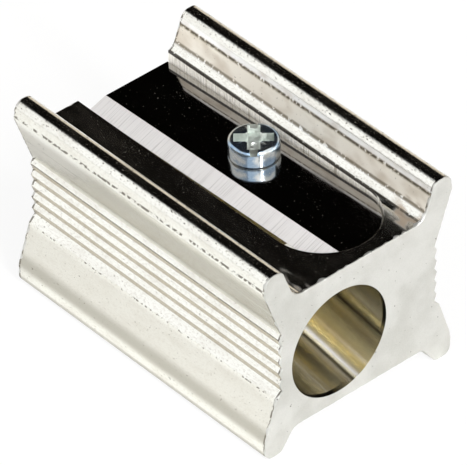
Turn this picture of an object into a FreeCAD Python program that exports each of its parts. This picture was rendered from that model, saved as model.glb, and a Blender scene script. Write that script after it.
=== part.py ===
"""Hand-held block pencil sharpener: an extruded light-metal block, a steel blade and its screw.

Frame: X across the block (right as seen from the mouth), Y along it from the mouth to the back,
Z up. The origin is the middle of the rectangle that the block stands on. Millimetres and degrees.

The block is sized from the pencil outwards. Across the waist the widths add up from the left wall,
over the pencil hole, the screw and the blade, to the right wall. Upwards the heights add up from the
feet, over the hole, to the channel floor and the ears.
"""
import FreeCAD
import Part
import math
import os

# Pencil hole: a round mouth, then a cone that ends just past the back face
HOLE_RADIUS = 4.1
HOLE_SIDE_WALL = 0.84
HOLE_BASE_WALL = 0.88
HOLE_ROOF = 1.8
POINT_OVERRUN = 2.6

# Extruded block
BLOCK_LENGTH = 24.6
FOOT_RISE = 1.57
FOOT_WIDTH = 1.4
FOOT_FLARE = 1.3
FOOT_SIDE = 1.6
FOOT_LEAN = 36.0
FOOT_INNER_ROUND = 0.7
FOOT_HEEL_ROUND = 0.55
FOOT_TOE_ROUND = 0.75
FOOT_SIDE_ROUND = 2.0
LIP_HEIGHT = 4.65
LIP_FLARE = 0.28
LIP_RISE = 0.49
GROOVE_COUNT = 5
GROOVE_PITCH = 0.93
GROOVE_RISE = 0.36
GROOVE_DEPTH = 0.22
FLANK_HOLLOW = 0.1
FLANK_ROUND = 12.0
EAR_RISE = 2.7
EAR_ROOT = 1.27
EAR_FLARE = 1.27
EAR_WIDTH = 1.55
EAR_DROP = 1.2
EAR_BACK = 0.2
EAR_TIP_ROUND = 0.5
EAR_TOP_ROUND = 0.75
EAR_INNER_ROUND = 0.7
CHANNEL_ROUND = 1.0

# Blade seat: a flat pocket with a round front end, milled at a slant and open at the back
SEAT_SLANT = 1.3
SEAT_DEPTH = 0.73
SEAT_FRONT_WALL = 1.0
SEAT_LEDGE = 0.3
CHIP_GAP = 0.95
CONE_BITE = 0.25

# Blade
BLADE_THICKNESS = 0.48
BLADE_CLEARANCE = 0.12
BLADE_INSET = 0.05
BLADE_BACK_EDGE = 2.5
BLADE_HOLE_CLEARANCE = 0.15
EDGE_LEAD = 0.05
EDGE_LAND = 0.03
BEVEL_WIDTH = 1.45

# Blade screw: a cheese head with a shallow slot across it and a deeper cross inside the rim
SCREW_FROM_MOUTH = 13.1
SCREW_RADIUS = 1.0
SCREW_REACH = 4.0
SCREW_POINT = 0.3
SCREW_WALL = 0.5
SCREW_CLEARANCE = 0.05
TAP_SPARE = 0.6
DRILL_POINT_ANGLE = 118.0
HEAD_RADIUS = 1.75
HEAD_HEIGHT = 1.35
HEAD_TOP_ROUND = 0.32
HEAD_FOOT_ROUND = 0.18
SLOT_WIDTH = 0.6
SLOT_DEPTH = 0.26
SLOT_TURN = 48.0
CROSS_WIDTH = 0.95
CROSS_LENGTH = 2.65
CROSS_DEPTH = 0.6
PIT_RADIUS = 0.7
PIT_DEPTH = 0.9

# A cutting tool reaches this far past the face it leaves
OVERCUT = 2.0

# The largest share of a side that the round at one of its ends may use
ROUND_SHARE = 0.49

# Heights
hole_mouth_height = FOOT_RISE + HOLE_BASE_WALL + HOLE_RADIUS
channel_floor = hole_mouth_height + HOLE_RADIUS + HOLE_ROOF
block_height = channel_floor + EAR_RISE
seat_height = channel_floor - SEAT_DEPTH
mouth_y = -BLOCK_LENGTH / 2

# The cone's top line runs parallel to the seat, and its point lies POINT_OVERRUN past the back face
seat_fall = math.tan(math.radians(SEAT_SLANT))
point_depth = BLOCK_LENGTH + POINT_OVERRUN
point_height = seat_height + CONE_BITE - seat_fall * point_depth
hole_tilt = math.degrees(math.atan2(point_height - hole_mouth_height, point_depth))
cone_half_angle = hole_tilt + SEAT_SLANT
cone_slope = math.tan(math.radians(cone_half_angle))
point_reach = math.hypot(point_depth, point_height - hole_mouth_height)
cone_start = point_reach - HOLE_RADIUS / cone_slope

# Widths across the waist, added up from the left wall to the right one
screw_cone_radius = cone_slope * (point_reach - SCREW_FROM_MOUTH / math.cos(math.radians(hole_tilt)))
screw_hole_radius = SCREW_RADIUS + SCREW_CLEARANCE
left_of_hole = GROOVE_DEPTH + HOLE_SIDE_WALL + HOLE_RADIUS
hole_to_screw = screw_cone_radius + SCREW_WALL + screw_hole_radius
screw_to_channel = BLADE_BACK_EDGE + BLADE_CLEARANCE + SEAT_LEDGE
waist_half = (left_of_hole + hole_to_screw + screw_to_channel + EAR_ROOT) / 2
hole_x = left_of_hole - waist_half
screw_x = hole_x + hole_to_screw
channel_half = screw_x + screw_to_channel

# Blade and seat outlines
blade_back_x = screw_x + BLADE_BACK_EDGE
blade_edge_x = hole_x + EDGE_LEAD
seat_right = blade_back_x + BLADE_CLEARANCE
seat_left = blade_edge_x - CHIP_GAP
seat_radius = (seat_right - seat_left) / 2
seat_middle = (seat_right + seat_left) / 2
seat_round_center = SEAT_FRONT_WALL + seat_radius
blade_end = (BLOCK_LENGTH - BLADE_INSET) / math.cos(math.radians(SEAT_SLANT))


def rounded_outline(corners):
    """Closed wire in the XZ plane through (x, z, radius) corners, each rounded by a tangent arc.

    A radius is limited to what its two sides leave room for.
    """
    points = [FreeCAD.Vector(x, 0, z) for x, z, _ in corners]
    edges = []
    spans = []
    for index, (_, _, radius) in enumerate(corners):
        here = points[index]
        to_last = points[index - 1] - here
        to_next = points[(index + 1) % len(points)] - here
        if radius == 0:
            spans.append((here, None, here))
            continue
        half_angle = to_last.getAngle(to_next) / 2
        side_limit = ROUND_SHARE * min(to_last.Length, to_next.Length)
        tangent = min(radius / math.tan(half_angle), side_limit)
        round_radius = tangent * math.tan(half_angle)
        bisector = (to_last.normalize() + to_next.normalize()).normalize()
        middle = here + bisector * (round_radius / math.sin(half_angle) - round_radius)
        spans.append((here + to_last * tangent, middle, here + to_next * tangent))
    for index, (start, middle, end) in enumerate(spans):
        if middle is not None:
            edges.append(Part.Arc(start, middle, end).toShape())
        edges.append(Part.makeLine(end, spans[(index + 1) % len(spans)][0]))
    return Part.Wire(edges)


def block_corners():
    """Right half of the block's section, from the middle of the underside to the channel floor."""
    foot_half = waist_half + FOOT_FLARE
    ear_half = waist_half + EAR_FLARE
    heel_x = foot_half - FOOT_WIDTH
    corners = [
        (heel_x - FOOT_RISE * math.tan(math.radians(FOOT_LEAN)), FOOT_RISE, FOOT_INNER_ROUND),
        (heel_x, 0, FOOT_HEEL_ROUND),
        (foot_half, 0, FOOT_TOE_ROUND),
        (foot_half, FOOT_SIDE, FOOT_SIDE_ROUND),
        (waist_half + LIP_FLARE, LIP_HEIGHT, 0),
    ]
    groove_x = waist_half - GROOVE_DEPTH
    for groove in range(GROOVE_COUNT):
        groove_low = LIP_HEIGHT + LIP_RISE + groove * GROOVE_PITCH
        corners.append((groove_x, groove_low, 0))
        corners.append((waist_half, groove_low + GROOVE_PITCH - GROOVE_RISE, 0))
    ear_tip_height = block_height - EAR_DROP
    flank_foot = LIP_HEIGHT + LIP_RISE + GROOVE_COUNT * GROOVE_PITCH
    flank_middle_x = (waist_half + ear_half) / 2 - FLANK_HOLLOW
    corners += [
        (groove_x, flank_foot, 0),
        (flank_middle_x, (flank_foot + ear_tip_height) / 2, FLANK_ROUND),
        (ear_half, ear_tip_height, EAR_TIP_ROUND),
        (ear_half - EAR_BACK, block_height, EAR_TOP_ROUND),
        (ear_half - EAR_WIDTH, block_height, EAR_INNER_ROUND),
        (channel_half, channel_floor, CHANNEL_ROUND),
    ]
    return corners


def on_seat(shape):
    """Move a shape from seat coordinates (across, along from the mouth face, out) to the block."""
    shape.rotate(FreeCAD.Vector(0, 0, 0), FreeCAD.Vector(1, 0, 0), -SEAT_SLANT)
    shape.translate(FreeCAD.Vector(0, mouth_y, seat_height))
    return shape


def round_ended_plate(left, right, radius, end, thickness):
    """Plate on the seat plane, straight at its end and rounded about the seat's centre in front."""
    left_chord = math.sqrt(max(radius ** 2 - (seat_middle - left) ** 2, 0))
    right_chord = math.sqrt(max(radius ** 2 - (right - seat_middle) ** 2, 0))
    front_left = FreeCAD.Vector(left, seat_round_center - left_chord, 0)
    front = FreeCAD.Vector(seat_middle, seat_round_center - radius, 0)
    front_right = FreeCAD.Vector(right, seat_round_center - right_chord, 0)
    back_right = FreeCAD.Vector(right, end, 0)
    back_left = FreeCAD.Vector(left, end, 0)
    outline = Part.Wire([
        Part.Arc(front_left, front, front_right).toShape(),
        Part.makeLine(front_right, back_right),
        Part.makeLine(back_right, back_left),
        Part.makeLine(back_left, front_left),
    ])
    return Part.Face(outline).extrude(FreeCAD.Vector(0, 0, thickness))


def turned(outline):
    """Solid of revolution about Z of an outline of (radius, height) points."""
    points = [FreeCAD.Vector(radius, 0, height) for radius, height in outline]
    face = Part.Face(Part.makePolygon(points + points[:1]))
    return face.revolve(FreeCAD.Vector(0, 0, 0), FreeCAD.Vector(0, 0, 1), 360)


def pencil_hole_tool():
    """Straight mouth and cone on the tilted axis of the pencil."""
    tool = turned([
        (0, -OVERCUT),
        (HOLE_RADIUS, -OVERCUT),
        (HOLE_RADIUS, cone_start),
        (0, point_reach),
    ])
    tool.rotate(FreeCAD.Vector(0, 0, 0), FreeCAD.Vector(1, 0, 0), hole_tilt - 90)
    tool.translate(FreeCAD.Vector(hole_x, mouth_y, hole_mouth_height))
    return tool


def seat_tool():
    """Round-ended pocket that the blade lies in, open at the back of the block."""
    pocket_depth = SEAT_DEPTH + seat_fall * BLOCK_LENGTH + OVERCUT
    pocket_end = blade_end + OVERCUT
    return on_seat(round_ended_plate(seat_left, seat_right, seat_radius, pocket_end, pocket_depth))


def screw_hole_tool():
    """Tapped hole under the seat, with the cone of the drill at its bottom."""
    hole_depth = SCREW_REACH + TAP_SPARE
    drill_point = screw_hole_radius / math.tan(math.radians(DRILL_POINT_ANGLE / 2))
    tool = turned([
        (0, OVERCUT),
        (screw_hole_radius, OVERCUT),
        (screw_hole_radius, -hole_depth),
        (0, -hole_depth - drill_point),
    ])
    tool.translate(FreeCAD.Vector(screw_x, SCREW_FROM_MOUTH, 0))
    return on_seat(tool)


def sharpener_block():
    """Extruded block with the pencil hole, the blade seat and the screw hole cut into it."""
    right = block_corners()
    left = [(-x, z, radius) for x, z, radius in reversed(right)]
    section = Part.Face(rounded_outline(right + left))
    block = section.extrude(FreeCAD.Vector(0, BLOCK_LENGTH, 0))
    block.translate(FreeCAD.Vector(0, mouth_y, 0))
    return block.cut([pencil_hole_tool(), seat_tool(), screw_hole_tool()])


def blade():
    """Flat blade with a round front end, a ground bevel on its cutting edge and a screw hole."""
    front_radius = seat_radius - BLADE_CLEARANCE
    plate = round_ended_plate(blade_edge_x, blade_back_x, front_radius, blade_end, BLADE_THICKNESS)
    above = BLADE_THICKNESS + OVERCUT
    bevel_section = Part.makePolygon([
        FreeCAD.Vector(blade_edge_x, 0, EDGE_LAND),
        FreeCAD.Vector(blade_edge_x + BEVEL_WIDTH, 0, BLADE_THICKNESS),
        FreeCAD.Vector(blade_edge_x + BEVEL_WIDTH, 0, above),
        FreeCAD.Vector(blade_edge_x - OVERCUT, 0, above),
        FreeCAD.Vector(blade_edge_x - OVERCUT, 0, EDGE_LAND),
        FreeCAD.Vector(blade_edge_x, 0, EDGE_LAND),
    ])
    bevel = Part.Face(bevel_section).extrude(FreeCAD.Vector(0, blade_end + OVERCUT, 0))
    screw_hole = Part.makeCylinder(
        SCREW_RADIUS + BLADE_HOLE_CLEARANCE,
        BLADE_THICKNESS + 2 * OVERCUT,
        FreeCAD.Vector(screw_x, SCREW_FROM_MOUTH, -OVERCUT),
    )
    return on_seat(plate.cut([bevel, screw_hole]))


def slot_tool(length, width, depth, turn):
    """Flat-bottomed slot in the screw's head, turned about its axis."""
    slot = Part.makeBox(
        length,
        width,
        depth + OVERCUT,
        FreeCAD.Vector(-length / 2, -width / 2, HEAD_HEIGHT - depth),
    )
    slot.rotate(FreeCAD.Vector(0, 0, 0), FreeCAD.Vector(0, 0, 1), turn)
    return slot


def blade_screw():
    """Cheese-head screw, built with its head's underside at height 0, then seated on the blade."""
    shank_length = BLADE_THICKNESS + SCREW_REACH
    shank = turned([
        (0, 0),
        (SCREW_RADIUS, 0),
        (SCREW_RADIUS, SCREW_POINT - shank_length),
        (SCREW_RADIUS - SCREW_POINT, -shank_length),
        (0, -shank_length),
    ])
    head = Part.makeCylinder(HEAD_RADIUS, HEAD_HEIGHT)
    rims = [edge for edge in head.Edges if isinstance(edge.Curve, Part.Circle)]
    top_rim = max(rims, key=lambda edge: edge.CenterOfMass.z)
    head = head.makeFillet(HEAD_TOP_ROUND, [top_rim])
    foot_rim = min(
        (edge for edge in head.Edges if isinstance(edge.Curve, Part.Circle)),
        key=lambda edge: edge.CenterOfMass.z,
    )
    head = head.makeFillet(HEAD_FOOT_ROUND, [foot_rim])
    pit = Part.makeCone(0, PIT_RADIUS, PIT_DEPTH, FreeCAD.Vector(0, 0, HEAD_HEIGHT - PIT_DEPTH))
    through_slot = slot_tool(2 * HEAD_RADIUS + OVERCUT, SLOT_WIDTH, SLOT_DEPTH, SLOT_TURN)
    cross = [slot_tool(CROSS_LENGTH, CROSS_WIDTH, CROSS_DEPTH, SLOT_TURN + turn) for turn in (0, 90)]
    screw = head.fuse(shank).cut([through_slot, pit] + cross)
    screw.translate(FreeCAD.Vector(screw_x, SCREW_FROM_MOUTH, BLADE_THICKNESS))
    return on_seat(screw)


def solid_of(shape):
    """The one solid of a finished piece, with coplanar leftovers merged."""
    return shape.removeSplitter().Solids[0]


os.makedirs("parts", exist_ok=True)
for make_piece in (sharpener_block, blade, blade_screw):
    solid_of(make_piece()).exportStep(f"parts/{make_piece.__name__}.step")
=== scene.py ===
"""Looks of the block pencil sharpener: drawn metal block, ground steel blade and zinc-plated screw.

The pieces are modelled in millimetres in the part's own frame: X across the block (right as seen from
the mouth), Y along it from the mouth to the back, Z up. Each mesh is scaled to metres at the end.
"""

import logging
import math
from collections.abc import Callable, Iterator
from contextlib import contextmanager
from dataclasses import dataclass
from enum import Enum
from functools import reduce

import bmesh
import bpy
from mathutils import Matrix, Vector, noise


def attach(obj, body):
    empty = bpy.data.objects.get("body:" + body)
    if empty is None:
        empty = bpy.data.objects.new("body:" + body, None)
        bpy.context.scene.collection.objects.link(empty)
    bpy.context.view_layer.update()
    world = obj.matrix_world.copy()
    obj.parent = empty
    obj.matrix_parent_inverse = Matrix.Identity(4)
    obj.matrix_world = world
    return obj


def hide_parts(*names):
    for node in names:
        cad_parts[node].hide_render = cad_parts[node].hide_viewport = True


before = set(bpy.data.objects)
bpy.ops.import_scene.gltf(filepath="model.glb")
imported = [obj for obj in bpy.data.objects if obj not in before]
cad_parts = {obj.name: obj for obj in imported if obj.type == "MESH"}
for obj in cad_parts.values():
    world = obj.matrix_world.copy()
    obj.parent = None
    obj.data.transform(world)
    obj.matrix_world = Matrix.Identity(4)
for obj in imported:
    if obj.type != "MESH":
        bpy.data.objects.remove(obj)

Tree = bpy.types.NodeTree
Node = bpy.types.Node
Socket = bpy.types.NodeSocket
Piece = bpy.types.Object
Mesh = bmesh.types.BMesh
Face = bmesh.types.BMFace
Point = tuple[float, float, float]
Span = tuple[float, float]

LOG = logging.getLogger("sharpener")
MM = 0.001
WHITE = "#FFFFFF"
QUARTER_TURN = 0.25
# How far a cutting shape stands out of the piece it cuts, in millimetres.
OVERCUT = 2.0
SHARP_ANGLE = math.radians(30.0)
# Slack for points that should meet, for points on an axis and for lengths that should agree.
MERGE_DISTANCE = 1e-4
ON_AXIS = 1e-6
NEARLY_SAME = 1.01
# A face whose normal has at least this share along an axis looks that way.
FACING = 0.9
LARGEST_WEIGHT = 100
BREAK_STEPS = 2
ROUND_STEPS = 8
ROUND_PROFILE = 0.5
# A round takes a little less than half of an edge, so that two of them never meet in one point.
LONGEST_ROUND = 0.49
FULL_ROUND = 0.9999


def linear(colour: str) -> tuple[float, float, float, float]:
    """Turn an sRGB hex colour into linear light.

    Args:
        colour: Colour such as "#E4E2DC".

    Returns:
        Linear red, green, blue and an alpha of 1.
    """
    channels = [int(colour[start:start + 2], 16) / 255 for start in (1, 3, 5)]
    red, green, blue = (
        value / 12.92 if value <= 0.04045 else ((value + 0.055) / 1.055) ** 2.4 for value in channels
    )
    return red, green, blue, 1.0


def add_node(tree: Tree, kind: str, settings: dict | None = None, inputs: dict | None = None) -> Node:
    """Add a shader node with its settings and links.

    Args:
        tree: Node tree that the node goes into.
        kind: Blender's name for the type of node.
        settings: Node properties by name.
        inputs: For each input, by name or number, a value or the socket that feeds it.

    Returns:
        The new node.
    """
    node = tree.nodes.new(kind)
    for name, value in (settings or {}).items():
        setattr(node, name, value)
    for name, value in (inputs or {}).items():
        if isinstance(value, Socket):
            tree.links.new(value, node.inputs[name])
        else:
            node.inputs[name].default_value = value
    return node


class Blend(Enum):
    """How values are joined."""

    PRODUCT = "MULTIPLY"
    LARGER = "MAXIMUM"
    SUM = "ADD"
    FOLD = "PINGPONG"


@dataclass(frozen=True)
class Grain:
    """A noise pattern: its grains along X, Y and Z in millimetres, its octaves and its turn in degrees."""

    sizes: Point
    octaves: float = 2.0
    turn: Point = (0.0, 0.0, 0.0)


@dataclass(frozen=True)
class Mark:
    """A colour that shows, up to a weight, where a pattern rises from one value to another."""

    colour: str
    low: float
    high: float
    weight: float = 1.0


@dataclass(frozen=True)
class Sheen:
    """Roughness that follows a pattern, as factors of the finish's own at two values of the pattern."""

    low: float
    high: float
    smooth: float
    rough: float


@dataclass(frozen=True)
class Zone:
    """A stretch along one axis in millimetres, with soft ends."""

    low: float
    high: float
    soft: float = 0.05


@dataclass(frozen=True)
class Painter:
    """Draws patterns, masks and colours into a node tree, on the coordinates of a place."""

    tree: Tree
    shader: Node | None = None
    place: Socket | None = None

    def axes(self) -> tuple[Socket, Socket, Socket]:
        """Separate X, Y and Z of the coordinates that patterns lie on."""
        parts = add_node(self.tree, "ShaderNodeSeparateXYZ", {}, {"Vector": self.place})
        return parts.outputs["X"], parts.outputs["Y"], parts.outputs["Z"]

    def noise(self, grain: Grain) -> Socket:
        """Draw a noise pattern.

        Args:
            grain: Sizes, octaves and turn of the pattern.

        Returns:
            The noise value, around one half.
        """
        turned = add_node(self.tree, "ShaderNodeMapping", {"vector_type": "TEXTURE"}, {
            "Vector": self.place,
            "Rotation": [math.radians(angle) for angle in grain.turn],
        })
        scaled = add_node(self.tree, "ShaderNodeMapping", {}, {
            "Vector": turned.outputs["Vector"],
            "Scale": [1 / (size * MM) for size in grain.sizes],
        })
        return add_node(self.tree, "ShaderNodeTexNoise", {}, {
            "Vector": scaled.outputs["Vector"],
            "Scale": 1.0,
            "Detail": grain.octaves,
        }).outputs["Fac"]

    def between(self, value: Socket, low: float, high: float, at_low: float = 0.0,
                at_high: float = 1.0) -> Socket:
        """Map a value smoothly from low..high to at_low..at_high, and hold it beyond them."""
        return add_node(self.tree, "ShaderNodeMapRange", {"interpolation_type": "SMOOTHSTEP"}, {
            "Value": value,
            "From Min": low,
            "From Max": high,
            "To Min": at_low,
            "To Max": at_high,
        }).outputs["Result"]

    def up_to(self, mask: Socket, weight: float, start: float = 0.0) -> Socket:
        """Map a mask's 0 to a start and its 1 to a weight."""
        return self.between(mask, 0.0, 1.0, start, weight)

    def mask(self, pattern: Socket, mark: Mark) -> Socket:
        """Mask of a mark on a pattern."""
        return self.between(pattern, mark.low, mark.high, 0.0, mark.weight)

    def zone(self, value: Socket, zone: Zone) -> Socket:
        """Mask of a zone.

        Args:
            value: Place along the zone's axis, in metres.
            zone: Where the mask is 1.

        Returns:
            The mask, with soft ends.
        """
        rising = self.between(value, (zone.low - zone.soft) * MM, zone.low * MM)
        falling = self.between(value, zone.high * MM, (zone.high + zone.soft) * MM, 1.0, 0.0)
        return self.join(Blend.PRODUCT, rising, falling)

    def join(self, blend: Blend, *values: Socket | float) -> Socket:
        """Join two or more values, one after the other."""
        return reduce(lambda first, second: add_node(
            self.tree, "ShaderNodeMath", {"operation": blend.value}, {0: first, 1: second},
        ).outputs[0], values)

    def apart(self, value: Socket, middle: float = 0.0) -> Socket:
        """How far a value lies from a middle, on either side."""
        offset = self.join(Blend.SUM, value, -middle)
        return add_node(self.tree, "ShaderNodeMath", {"operation": "ABSOLUTE"}, {0: offset}).outputs[0]

    def tint(self, under: Socket | str, mask: Socket, over: str) -> Socket:
        """Lay a hex colour over another, given as a socket or as hex, where a mask is 1."""
        return add_node(self.tree, "ShaderNodeMix", {"data_type": "RGBA"}, {
            0: mask,
            6: linear(under) if isinstance(under, str) else under,
            7: linear(over),
        }).outputs[2]

    def mark(self, under: Socket | str, pattern: Socket, mark: Mark) -> Socket:
        """Lay a mark over a colour."""
        return self.tint(under, self.mask(pattern, mark), mark.colour)

    def feed(self, **sockets: Socket) -> None:
        """Link values to the shader's inputs; an underscore in a name stands for a space."""
        for name, socket in sockets.items():
            self.tree.links.new(socket, self.shader.inputs[name.replace("_", " ")])

    def stretch_along(self, uv_map: str) -> None:
        """Draw the highlights out along the U direction of a UV map."""
        along = add_node(self.tree, "ShaderNodeTangent", {"direction_type": "UV_MAP", "uv_map": uv_map})
        self.feed(Tangent=along.outputs["Tangent"])

    def relief(self, height: Socket, depth: float) -> None:
        """Give the surface a relief of a depth in millimetres."""
        bump = add_node(self.tree, "ShaderNodeBump", {}, {
            "Height": height,
            "Strength": 1.0,
            "Distance": depth * MM,
        })
        self.feed(Normal=bump.outputs["Normal"])


@dataclass(frozen=True)
class Finish:
    """A metal surface: its name and even values. Subclasses draw what else the eye sees on it."""

    name: str
    colour: str
    roughness: float
    anisotropy: float = 0.0
    metallic: float = 1.0

    def material(self) -> bpy.types.Material:
        """Build the material and let the subclass draw its pattern.

        Returns:
            The new material.
        """
        made = bpy.data.materials.new(self.name)
        made.use_nodes = True
        tree = made.node_tree
        shader = tree.nodes["Principled BSDF"]
        shader.inputs["Base Color"].default_value = linear(self.colour)
        shader.inputs["Metallic"].default_value = self.metallic
        shader.inputs["Roughness"].default_value = self.roughness
        shader.inputs["Anisotropic"].default_value = self.anisotropy
        place = add_node(tree, "ShaderNodeTexCoord").outputs["Object"]
        self.pattern(Painter(tree, shader, place))
        return made

    def pattern(self, paint: Painter) -> None:
        """Draw the pattern; an even finish has none."""

    def vary(self, paint: Painter, pattern: Socket, sheen: Sheen) -> Socket:
        """Roughness that follows a pattern."""
        smooth = self.roughness * sheen.smooth
        return paint.between(pattern, sheen.low, sheen.high, smooth, self.roughness * sheen.rough)


@dataclass(frozen=True)
class SkinLine:
    """A line along the block, in millimetres: a burr left by the die, a line of dirt, or a band or line of
    painted shade or painted highlight.

    It is full within a share of its half width, its core, and it is broken where a noise is below a limit.
    """

    height: float
    half_width: float
    inner_x: float
    outer_x: float
    broken_below: float
    core: float = 0.4
    colour: str = "#5A5348"
    weight: float = 0.85


@dataclass(frozen=True)
class DrawnSkin(Finish):
    """Extruded magnesium alloy as the die leaves it.

    The eye sees a bright metal with faint lines along the block, dull clouds, dark pits, a die burr here and
    there along the edges of the section, a pale film with soft smears on the ears' inner walls, stains in
    the channel's corners and dust. Painted shade lies on the overhung faces of the grooves, in grey bands
    along the sides, in a thin line at the channel's ledge and in dashes along the sawn ends' edges; a tan
    painted highlight runs along the ears' inner top edges. Real die lines and pits are a few hundredths of
    a millimetre wide and would not show, so they are drawn about four times as coarse.
    """

    die_lines: Grain = Grain((0.11, 9.0, 0.11), 3.0)
    pitting: Grain = Grain((0.12, 0.24, 0.12))
    clouds: Grain = Grain((0.8, 3.0, 0.8), 3.0)
    dashes: Grain = Grain((0.28, 0.28, 0.28), 2.0, (0, 0, 30))
    dusting: Grain = Grain((0.13, 0.13, 0.13), 1.0, (31, 17, 5))
    blotches: Grain = Grain((0.9, 1.8, 0.9), 1.5, (7, 19, 0))
    smudge: Mark = Mark("#CFCABF", 0.4, 0.8, 0.4)
    speckle: Mark = Mark("#CDC8BC", 0.45, 0.7, 0.35)
    smear: Mark = Mark("#B9AA95", 0.4, 0.75, 0.5)
    stain: Mark = Mark("#8E7A62", 0.42, 0.62, 0.8)
    # Painted shade in dark dashes along the edges of the sawn ends.
    sawn_edge_shade: Mark = Mark("#5A5348", 0.42, 0.5, 0.85)
    pit: Mark = Mark("#3B342C", 0.69, 0.74)
    dust: Mark = Mark("#8C857B", 0.735, 0.78)
    sheen: Sheen = Sheen(0.35, 0.75, 0.85, 1.25)
    dash_edge: float = 0.06
    line_depth: float = 0.002

    # Painted shade on the overhung faces of the grip grooves.
    overhung_shade_colour: str = "#B9B09D"
    overhung_edge: float = 0.05
    waist_x: Zone = Zone(0.0, 7.0)

    # Film on the ears' inner walls, stains in the channel's corners, painted shade along the edges of the
    # sawn ends.
    film_colour: str = WHITE
    film_x: Zone = Zone(5.75, 6.6)
    film_z: Zone = Zone(13.1, 14.55, 0.3)
    film_dulling: float = 0.35
    tan_colour: str = "#F3EEE4"
    tan_z: Zone = Zone(13.15, 14.2, 0.15)
    stain_x: Zone = Zone(4.4, 6.4, 0.4)
    stain_y: Zone = Zone(-12.3, -10.4, 1.2)
    stain_z: Zone = Zone(12.3, 13.2, 0.2)
    sawn_edge_shade_y: Zone = Zone(12.14, 12.4, 0.08)

    # Wear by height: the ears are pitted most and their rims are grainy, but their tops are calm.
    crown_z: Span = (14.7, 14.95)
    crown_wear: Span = (-0.03, 0.045)
    pit_roughness: float = 0.3
    least_metal: float = 0.3
    rim_z: Span = (14.3, 14.7)
    rim_grain: Span = (0.5, 7.0)
    calm_z: Span = (14.95, 15.1)
    calm_grain: float = 0.3

    # Painted shade first, in greyer bands along the sides at set heights; then the thin lines over them:
    # burrs, and lines of painted shade and painted highlight.
    streaks: tuple[SkinLine, ...] = (
        SkinLine(3.35, 1.35, 6.8, 8.3, 0.0, 0.6, "#CFCCC3", 0.5),
        SkinLine(1.9, 0.95, 7.3, 8.3, 0.0, 0.0, "#B3B0A6", 0.9),
        SkinLine(0.3, 0.6, 7.3, 8.3, 0.0, 0.3, "#B3B0A6", 0.9),
        SkinLine(11.75, 2.5, 6.7, 8.3, 0.0, 0.3, "#B3B0A6", 0.9),
    )
    burrs_and_painted_lines: tuple[SkinLine, ...] = (
        SkinLine(14.12, 0.13, 7.7, 8.3, 0.45),
        # Painted highlight: a tan line along the inner edges of the ear tops.
        SkinLine(14.27, 0.22, 5.9, 6.9, 0.36, 0.0, "#8A7F66"),
        SkinLine(14.28, 0.1, 5.9, 6.9, 0.46),
        SkinLine(13.05, 0.22, 5.5, 6.2, 0.36, 0.0, "#7A705C"),
        # Painted shade: a thin dark line along the ledge beside the blade's pocket.
        SkinLine(12.53, 0.07, 5.25, 5.6, 0.33, 0.5),
        # A thin dark line along the crest of the top groove.
        SkinLine(9.43, 0.06, 6.5, 7.2, 0.3),
        SkinLine(4.62, 0.06, 7.0, 7.4, 0.57),
    )

    def draw_lines(self, paint: Painter, under: Socket, across: Socket, height: Socket, dashes: Socket,
                   lines: tuple[SkinLine, ...]) -> Socket:
        """Lay lines over a colour.

        Args:
            paint: Painter of the material.
            under: Colour underneath.
            across: Distance from the middle of the block, in metres.
            height: Height above the feet, in metres.
            dashes: Noise that breaks the lines up.
            lines: Lines to draw, in order.

        Returns:
            The colour with its lines.
        """
        for line in lines:
            half_width = line.half_width * MM
            apart = paint.apart(height, line.height * MM)
            near = paint.between(apart, half_width * line.core, half_width, 1.0, 0.0)
            unbroken = paint.between(dashes, line.broken_below, line.broken_below + self.dash_edge)
            side = paint.zone(across, Zone(line.inner_x, line.outer_x))
            drawn = paint.join(Blend.PRODUCT, near, side, unbroken)
            under = paint.tint(under, paint.up_to(drawn, line.weight), line.colour)
        return under

    def overhung(self, paint: Painter, across: Socket, height: Socket) -> Socket:
        """Mask of the painted shade on the overhung faces of the grooves.

        Args:
            paint: Painter of the material.
            across: Distance from the middle of the block, in metres.
            height: Height above the feet, in metres.

        Returns:
            The mask, 1 on the overhung faces.
        """
        low = Block.lip_height + Block.lip_rise
        top = low + Block.groove_count * Block.groove_pitch - Block.groove_rise
        steps = add_node(paint.tree, "ShaderNodeMath", {"operation": "MULTIPLY_ADD"}, {
            0: height,
            1: 1 / (Block.groove_pitch * MM),
            2: -low / Block.groove_pitch,
        })
        share = add_node(paint.tree, "ShaderNodeMath", {"operation": "FRACT"}, {0: steps.outputs[0]})
        turn_back = 1 - Block.groove_rise / Block.groove_pitch
        under = paint.between(share.outputs[0], turn_back, turn_back + self.overhung_edge, 1.0, 0.0)
        return paint.join(
            Blend.PRODUCT, under, paint.zone(height, Zone(low, top)), paint.zone(across, self.waist_x),
        )

    def pattern(self, paint: Painter) -> None:
        """Draw the skin, from its dull clouds to the dust on it.

        Args:
            paint: Painter of the material.
        """
        x, y, z = paint.axes()
        across = paint.apart(x)
        speckles = paint.noise(self.pitting)
        clouds = paint.noise(self.clouds)
        dashes = paint.noise(self.dashes)
        blotches = paint.noise(self.blotches)
        crown = paint.between(z, *(height * MM for height in self.crown_z))
        wear = paint.up_to(crown, self.crown_wear[1], self.crown_wear[0])
        pits = paint.mask(paint.join(Blend.SUM, speckles, wear), self.pit)
        dust = paint.mask(paint.noise(self.dusting), self.dust)
        film = paint.join(Blend.PRODUCT, paint.zone(across, self.film_x), paint.zone(z, self.film_z))
        stain = paint.join(
            Blend.PRODUCT, paint.zone(across, self.stain_x), paint.zone(y, self.stain_y),
            paint.zone(z, self.stain_z), paint.mask(blotches, self.stain),
        )
        coloured = paint.mark(self.colour, clouds, self.smudge)
        coloured = paint.mark(coloured, speckles, self.speckle)
        # Painted shade on the overhung faces of the grooves.
        coloured = paint.tint(coloured, self.overhung(paint, across, z), self.overhung_shade_colour)
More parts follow.
